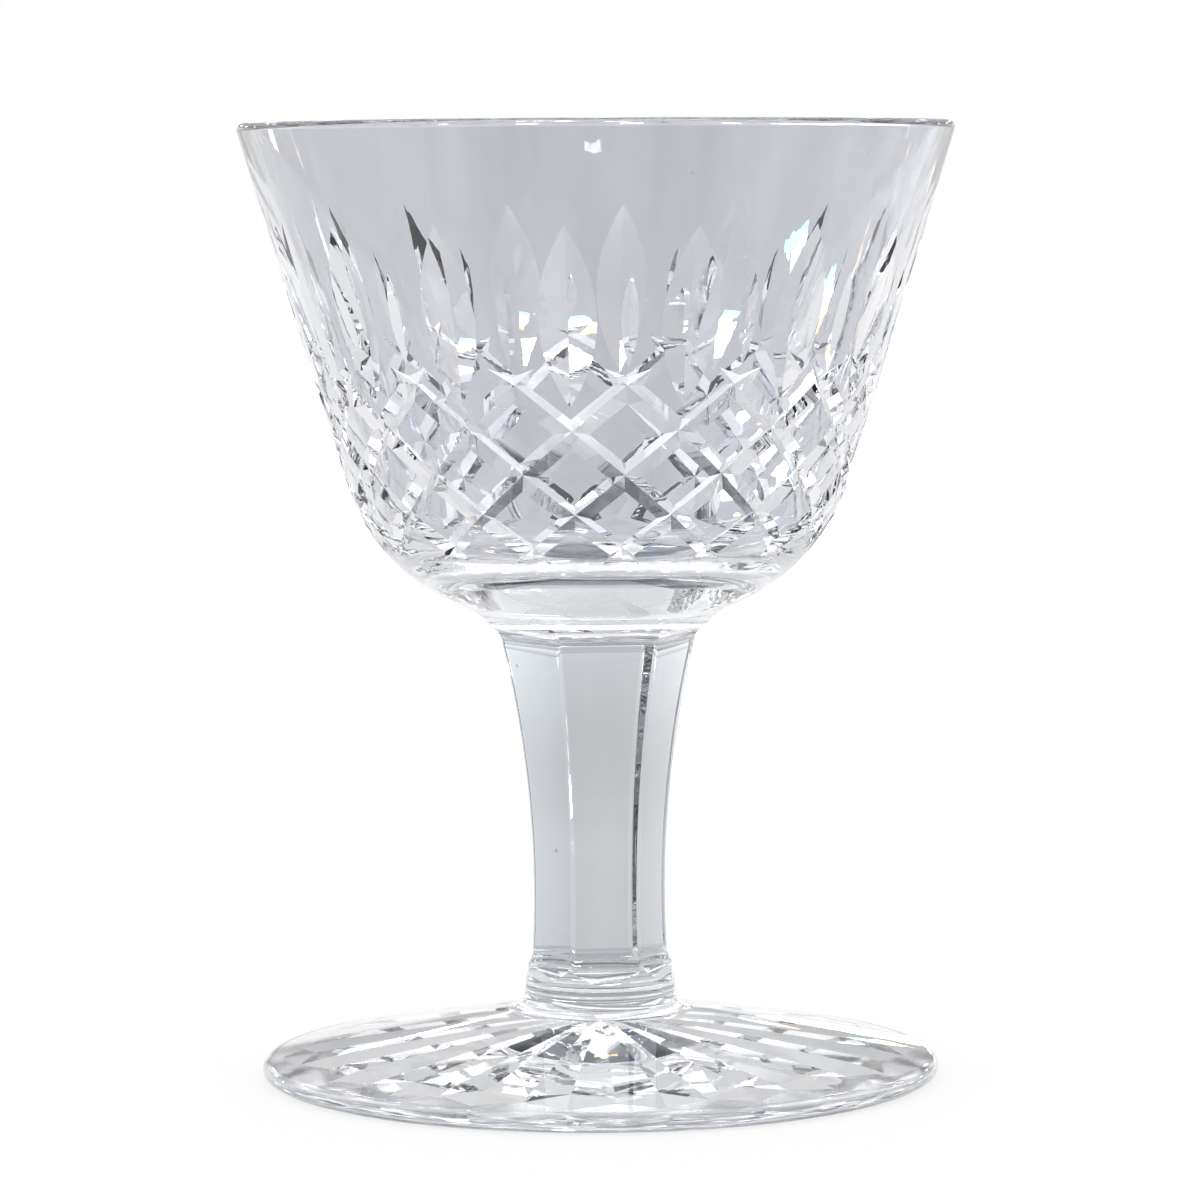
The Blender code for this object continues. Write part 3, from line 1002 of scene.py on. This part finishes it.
def ring_wear(nodes, links):
    """Roughness: all but none, and scratches on the ring that touches the table."""
    height = nodes.new("ShaderNodeSeparateXYZ")
    links.new(nodes.new("ShaderNodeTexCoord").outputs["Object"], height.inputs[0])
    low = ramp(nodes, links, height.outputs["Z"], *WEAR_HEIGHTS, WEAR, 0.0)
    scratch = texture(
        nodes, links, "ShaderNodeTexNoise", "Fac", SCRATCHES_PER_METRE, SCRATCH_STRETCH, Detail=2
    )
    return math_node(nodes, links, "MULTIPLY", low, scratch)


print(f"wear: up to {1000 * WEAR_HEIGHTS[1]:.2f} mm above the table")

# %% Finish of the three pieces
CRYSTAL_IOR = 1.55
ABSORB_COLOUR = 0.902, 0.906, 0.911, 1
STREAK_DEPTH = 0.000012
FINISHES = (
    # piece, grey tint (painted shade), second tint (painted light and shade), range and warmth of the
    # facets' tones, light lost inside
    (bowl, (0.725, 0.735, 0.765), (0.985, 0.99, 1.0), 0.12, 0.02, 40),
    (stem, (0.92, 0.925, 0.94), (0.785, 0.802, 0.82), -0.02, 0.02, 300),
    (foot, (0.79, 0.80, 0.82), (0.97, 0.98, 1.0), 0.20, 0.005, 20),
)


def crystal(piece, plain, painted_tint_colour, tone_range, warmth, absorb):
    """Gives a piece its finish."""
    material = bpy.data.materials.new(piece.name + "_finish")
    material.use_nodes = True
    piece.data.materials.append(material)
    nodes, links = material.node_tree.nodes, material.node_tree.links
    shader, output = nodes["Principled BSDF"], nodes["Material Output"]
    shader.inputs["IOR"].default_value = CRYSTAL_IOR
    shader.inputs["Transmission Weight"].default_value = 1.0
    streak = streaks(nodes, links)
    colour = surface_colour(nodes, links, streak, plain, painted_tint_colour, tone_range, warmth)
    links.new(colour, shader.inputs["Base Color"])
    links.new(ring_wear(nodes, links), shader.inputs["Roughness"])

    # The streaks again, as slight waves
    relief = nodes.new("ShaderNodeBump")
    relief.inputs["Distance"].default_value = STREAK_DEPTH
    links.new(streak, relief.inputs["Height"])
    links.new(relief.outputs["Normal"], shader.inputs["Normal"])

    # Light is lost on the way through, and passes a fused joint as if it were not there
    inside = nodes.new("ShaderNodeVolumeAbsorption")
    inside.inputs["Color"].default_value = ABSORB_COLOUR
    inside.inputs["Density"].default_value = absorb
    links.new(inside.outputs[0], output.inputs["Volume"])
    joint = nodes.new("ShaderNodeMixShader")
    links.new(mark(nodes, "fused"), joint.inputs[0])
    links.new(shader.outputs[0], joint.inputs[1])
    links.new(nodes.new("ShaderNodeBsdfTransparent").outputs[0], joint.inputs[2])
    links.new(joint.outputs[0], output.inputs["Surface"])
    print("finish:", material.name)


for finish in FINISHES:
    crystal(*finish)

# %% [markdown]
# ## Ground and light
#
# Clear glass is drawn by what stands round it. Here that is a white ground and a white wall of light
# all round, brightest a little above the ground, which fades to grey overhead. Behind the camera,
# above its own height, the room is dark. A ray that goes straight through meets white. One that a cut
# throws upwards meets the bright wall, the grey or the dark room, so every facet gets its own tone.
# Rays that only light the ground meet an even light instead.

# %% World
ROOM_LIGHT = 1.09

world = bpy.data.worlds.new("studio")
scene.world = world
world.use_nodes = True
nodes, links = world.node_tree.nodes, world.node_tree.links
even_light = nodes["Background"]
even_light.inputs["Color"].default_value = (1, 1, 1, 1)
even_light.inputs["Strength"].default_value = ROOM_LIGHT
direction = nodes.new("ShaderNodeTexCoord").outputs["Generated"]
split = nodes.new("ShaderNodeSeparateXYZ")
links.new(direction, split.inputs[0])
height = split.outputs["Z"]
print("world: even light of", ROOM_LIGHT)

# %% Wall of light and dark room
WALL_LIGHT = 1.8
WALL_RISE = math.radians(1), math.radians(20)
OVERHEAD_LIGHT = 0.85
OVERHEAD_FADE = math.radians(38), math.radians(66)
ROOM_HEIGHT = math.radians(36)
ROOM_SPREAD = math.radians(46), math.radians(34)
ROOM_RISE = math.radians(3), math.radians(9)
ROOM_DARKNESS = 0.95

wall = ramp(nodes, links, height, *map(math.sin, WALL_RISE), 1.0, WALL_LIGHT)
fade = ramp(nodes, links, height, *map(math.sin, OVERHEAD_FADE), 1.0, OVERHEAD_LIGHT / WALL_LIGHT)
towards_room = nodes.new("ShaderNodeVectorMath")
towards_room.operation = "DOT_PRODUCT"
towards_room.inputs[1].default_value = 0, -math.cos(ROOM_HEIGHT), math.sin(ROOM_HEIGHT)
links.new(direction, towards_room.inputs[0])
nearness = towards_room.outputs["Value"]
dark = ramp(nodes, links, nearness, *map(math.cos, ROOM_SPREAD), 0.0, ROOM_DARKNESS)
above = ramp(nodes, links, height, *map(math.sin, ROOM_RISE), 0.0, 1.0)
dimmed = math_node(nodes, links, "SUBTRACT", 1.0, math_node(nodes, links, "MULTIPLY", dark, above))
strength = math_node(nodes, links, "MULTIPLY", fade, dimmed)
strength = math_node(nodes, links, "MULTIPLY", wall, strength)
print("wall: bright to", round(math.degrees(OVERHEAD_FADE[0])), "degrees up")

# %% [markdown]
# The polish of the glass mirrors the wall too, and a mirrored wall lies over the cuts like a veil. A
# studio keeps such a veil away with flags, which are dark cards beside the glass. Here the wall is
# dimmer over the middle heights for mirrored rays. The camera itself sees plain white past the glass.

# %% Flags for mirrored rays, and white for the camera
MIRRORED_RISE = math.radians(3), math.radians(7)
MIRRORED_FADE = math.radians(42), math.radians(54)
MIRRORED_LOSS = 0.8


def seen_ray(nodes, links):
    """1 for rays that show the surroundings: from the camera, mirrored or bent by glass."""
    path = nodes.new("ShaderNodeLightPath")
    factor = path.outputs["Is Camera Ray"]
    for name in "Is Glossy Ray", "Is Transmission Ray":
        factor = math_node(nodes, links, "MAXIMUM", factor, path.outputs[name])
    return factor


path = nodes.new("ShaderNodeLightPath").outputs
mirrored = math_node(nodes, links, "SUBTRACT", path["Is Glossy Ray"], path["Is Transmission Ray"])
for heights_between, ends in (MIRRORED_RISE, (0.0, 1.0)), (MIRRORED_FADE, (1.0, 0.0)):
    flagged = ramp(nodes, links, height, *map(math.sin, heights_between), *ends)
    mirrored = math_node(nodes, links, "MULTIPLY", mirrored, flagged)
kept_light = math_node(nodes, links, "MULTIPLY_ADD", mirrored, -MIRRORED_LOSS, 1.0)
strength = math_node(nodes, links, "MULTIPLY", strength, kept_light)
not_camera = math_node(nodes, links, "SUBTRACT", 1.0, path["Is Camera Ray"])
strength = math_node(nodes, links, "MULTIPLY_ADD", strength, not_camera, path["Is Camera Ray"])
surroundings = nodes.new("ShaderNodeBackground")
surroundings.inputs["Color"].default_value = (1, 1, 1, 1)
links.new(strength, surroundings.inputs["Strength"])
choose = nodes.new("ShaderNodeMixShader")
links.new(seen_ray(nodes, links), choose.inputs[0])
links.new(even_light.outputs[0], choose.inputs[1])
links.new(surroundings.outputs[0], choose.inputs[2])
links.new(choose.outputs[0], nodes["World Output"].inputs["Surface"])
print(f"flags: mirrored rays keep {1 - MIRRORED_LOSS:.1f} of the wall's light")

# %% [markdown]
# ## Lamps
#
# Small lamps stand behind the glass in three arcs, out of the camera's sight. They are too small to
# light the ground. Their job is the sparkle: a facet that happens to face one turns white. Crystal
# spreads white light into colours, so each lamp is white with a warm end and a blue end. Each is a
# flat mesh that shines, because one mesh can hold three panes of different colours.

# %% A flat lamp in panes
def glow(name, colour, light):
    """A material that shines."""
    material = bpy.data.materials.new(name)
    material.use_nodes = True
    nodes, links = material.node_tree.nodes, material.node_tree.links
    shine = nodes.new("ShaderNodeEmission")
    shine.inputs["Color"].default_value = (*colour, 1)
    shine.inputs["Strength"].default_value = light
    links.new(shine.outputs[0], nodes["Material Output"].inputs["Surface"])
    return material


def lamp(name, place, size, pane_ends, glows, roll=0.0):
    """A flat lamp in panes side by side, turned towards the glass and hidden from the camera."""
    corners = [((x - 0.5) * size[0], y * size[1], 0) for x in pane_ends for y in (-0.5, 0.5)]
    panes = [(2 * i, 2 * i + 2, 2 * i + 3, 2 * i + 1) for i in range(len(glows))]
    mesh = bpy.data.meshes.new(name)
    mesh.from_pydata(corners, [], panes)
    for material in glows:
        mesh.materials.append(material)
    mesh.polygons.foreach_set("material_index", list(range(len(glows))))
    obj = bpy.data.objects.new(name, mesh)
    obj.location = place
    towards = (place - Vector((0, 0, cad_box[1].z / 2))).to_track_quat("Z", "Y").to_matrix()
    obj.rotation_euler = (towards @ Matrix.Rotation(roll, 3, "Z")).to_euler()
    obj.visible_camera = False
    scene.collection.objects.link(obj)


print(f"lamps: aimed {1000 * cad_box[1].z / 2:.0f} mm above the ground")

# %% Three arcs of lamps
LAMP_DISTANCE = 1.1
LAMP_HEIGHTS = math.radians(14), math.radians(28), math.radians(57)
LAMPS_IN_ARC = 9
LAMP_SPREAD = math.radians(100)
LAMP_SIZE = 0.060, 0.024
LAMP_LIGHT = 16.0
LAMP_COLOURS = {"lamp_warm": (1.0, 0.62, 0.30), "lamp_white": (1, 1, 1), "lamp_blue": (0.35, 0.60, 1.0)}
PANE_ENDS = 0, 0.25, 0.75, 1

arc_glows = [glow(name, colour, LAMP_LIGHT) for name, colour in LAMP_COLOURS.items()]
for tier, rise in enumerate(LAMP_HEIGHTS):
    for n in range(LAMPS_IN_ARC):
        along = (n + (tier + 0.5) / len(LAMP_HEIGHTS)) / LAMPS_IN_ARC
        turn = math.pi / 2 + LAMP_SPREAD * (along - 0.5)
        away = Vector((math.cos(rise) * math.cos(turn), math.cos(rise) * math.sin(turn), math.sin(rise)))
        roll = math.pi * chance(n, tier)
        lamp(f"lamp_{tier}_{n}", away * LAMP_DISTANCE, LAMP_SIZE, PANE_ENDS, arc_glows, roll)
print("arcs:", LAMPS_IN_ARC * len(LAMP_HEIGHTS), "lamps")

# %% [markdown]
# A few single lamps give highlights that sit in one place. A low lamp behind the glass lights the
# left edge of the stem's front facet. Three tiny ones near it put coloured points on the lances. One
# narrow lamp above the camera is mirrored inside the bowl, close under the rim.

# %% Single lamps
LOW_LAMP = Vector((0.066, 0.313, 0.024))
LOW_LAMP_SIZE = 0.050, 0.020
BACK_LAMPS = (0.066, 0.313, 0.047), (0.049, 0.316, 0.060), (0.084, 0.309, 0.036)
BACK_LAMP_SIZE = 0.012, 0.006
BACK_LAMP_LEAN = math.radians(36)
BACK_LAMP_DRAW = 7
BACK_LIGHT = 5.0
FRONT_LAMP = Vector((0.022, -0.834, 0.771))
FRONT_LAMP_SIZE = 0.095, 0.0050
FRONT_LIGHT = 32.0

white_glow = arc_glows[1]
lamp("low_lamp", LOW_LAMP, LOW_LAMP_SIZE, (0, 1), [white_glow])
back_glows = [glow("back_" + name, colour, BACK_LIGHT) for name, colour in LAMP_COLOURS.items()]
for n, place in enumerate(BACK_LAMPS):
    roll = math.pi / 2 + BACK_LAMP_LEAN * chance(n, BACK_LAMP_DRAW)
    lamp(f"back_lamp_{n}", Vector(place), BACK_LAMP_SIZE, PANE_ENDS, back_glows, roll)
front_glow = glow("front_glow", (1, 1, 1), FRONT_LIGHT)
lamp("front_lamp", FRONT_LAMP, FRONT_LAMP_SIZE, (0, 1), [front_glow])
print("single lamps:", 2 + len(BACK_LAMPS))

# %% [markdown]
# ## Ground
#
# The ground is a wide white disc. Most of its brightness is plain white that shows only to rays that
# see it, so that it meets the background without an edge. The rest follows the light that falls on it
# and keeps the soft shadow round the foot.

# %% Floor
FLOOR_RADIUS = 2.0
FLOOR_DROP = 0.00005
FLOOR_SIDES = 96
FLOOR_COLOUR = 0.92
FLOOR_ROUGHNESS = 0.9
SHADOW_SHARE = 0.2  # how much of the floor's brightness follows the light that falls on it

floor_mesh = bpy.data.meshes.new("floor")
turns = np.arange(FLOOR_SIDES) * math.tau / FLOOR_SIDES
floor_mesh.from_pydata(
    [(FLOOR_RADIUS * math.cos(t), FLOOR_RADIUS * math.sin(t), -FLOOR_DROP) for t in turns],
    [],
    [range(FLOOR_SIDES)],
)
floor = bpy.data.objects.new("floor", floor_mesh)
scene.collection.objects.link(floor)
ground = bpy.data.materials.new("white_ground")
ground.use_nodes = True
floor_mesh.materials.append(ground)
nodes, links = ground.node_tree.nodes, ground.node_tree.links
matte = nodes["Principled BSDF"]
matte.inputs["Base Color"].default_value = (FLOOR_COLOUR, FLOOR_COLOUR, FLOOR_COLOUR, 1)
matte.inputs["Roughness"].default_value = FLOOR_ROUGHNESS
matte.inputs["Specular IOR Level"].default_value = 0.0
white = nodes.new("ShaderNodeEmission")
plain_white = math_node(nodes, links, "MULTIPLY", seen_ray(nodes, links), 1 - SHADOW_SHARE)
lit = nodes.new("ShaderNodeMixShader")
links.new(plain_white, lit.inputs[0])
links.new(matte.outputs[0], lit.inputs[1])
links.new(white.outputs[0], lit.inputs[2])
links.new(lit.outputs[0], nodes["Material Output"].inputs["Surface"])
print(f"floor: {2 * FLOOR_RADIUS:.0f} m across")

# %% [markdown]
# ## Render settings
#
# Light goes in and out of cut glass many times before it leaves for good, so it is given many bounces.
# With too few, the deepest cuts turn black.

# %% Colours as written, and bounces
scene.view_settings.view_transform = "Standard"
scene.cycles.max_bounces = 24
scene.cycles.transmission_bounces = 24
scene.cycles.glossy_bounces = 16
print("bounces:", scene.cycles.max_bounces)
